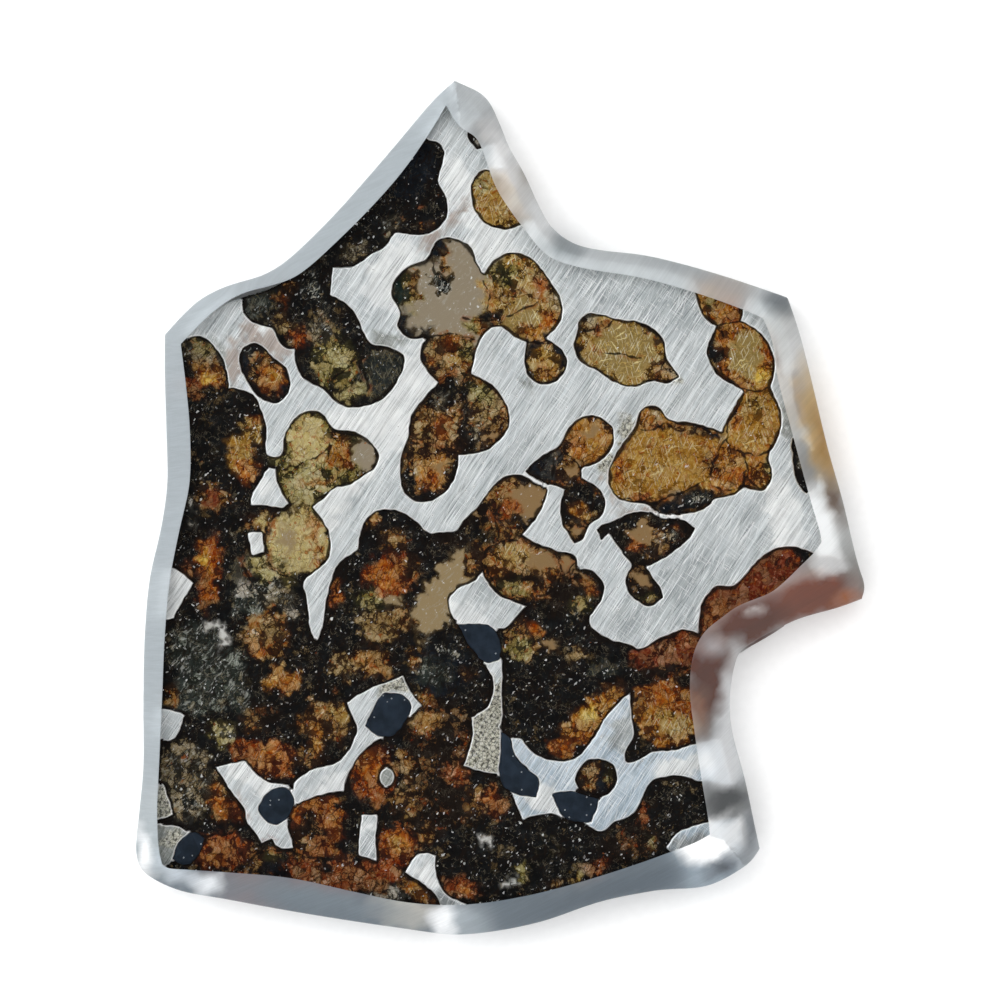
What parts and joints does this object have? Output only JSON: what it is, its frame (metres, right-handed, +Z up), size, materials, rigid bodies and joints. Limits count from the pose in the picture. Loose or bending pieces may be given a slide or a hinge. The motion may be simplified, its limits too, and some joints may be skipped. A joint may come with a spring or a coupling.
{
  "type": "pallasite meteorite slice",
  "caption": "Flat polished slice of stony-iron meteorite, amber and black olivine in nickel-iron, sealed in a clear resin block with sloping ground edges.",
  "frame": {"origin": "centre of the underside's bounding box, on the flat bottom of the resin", "axes": "+X to the notched side, +Y to the pointed end, +Z up out of the polished face"},
  "size_m": [0.051, 0.0598, 0.005],
  "materials": {
    "clear_resin": "clear, polished on the face, finely ground on the sloping edges",
    "iron_nickel": "nickel-iron, ground and brushed with fine crossing scratches",
    "amber_olivine": "translucent, polished, cracked inside",
    "black_chromite": "flat black, polished"
  },
  "bodies": {
    "root": {"chromite_centre": "black_chromite", "chromite_centre_left": "black_chromite", "chromite_hook": "black_chromite", "chromite_lower_left": "black_chromite", "chromite_lower_right": "black_chromite", "chromite_star": "black_chromite", "metal_bar": "iron_nickel", "metal_centre_wedge": "iron_nickel", "metal_column": "iron_nickel", "metal_foot": "iron_nickel", "metal_left_rim_grey": "iron_nickel", "metal_left_rim_lower": "iron_nickel", "metal_left_rim_middle": "iron_nickel", "metal_left_rim_upper": "iron_nickel", "metal_left_wedge": "iron_nickel", "metal_long_strip": "iron_nickel", "metal_lower_right": "iron_nickel", "metal_lower_right_rim": "iron_nickel", "metal_matrix": "iron_nickel", "metal_oval_fleck": "iron_nickel", "metal_square_fleck": "iron_nickel", "metal_star": "iron_nickel", "olivine_bean": "amber_olivine", "olivine_lens": "amber_olivine", "olivine_lower_network": "amber_olivine", "olivine_middle_cluster": "amber_olivine", "olivine_point_fleck": "amber_olivine", "olivine_right_cluster": "amber_olivine", "olivine_right_rim": "amber_olivine", "olivine_right_rim_sliver": "amber_olivine", "olivine_right_wedge": "amber_olivine", "olivine_round": "amber_olivine", "olivine_upper_centre": "amber_olivine", "olivine_upper_left_rim": "amber_olivine", "olivine_upper_rim": "amber_olivine", "resin_lower": "clear_resin", "resin_upper": "clear_resin"}
  },
  "joints": []
}
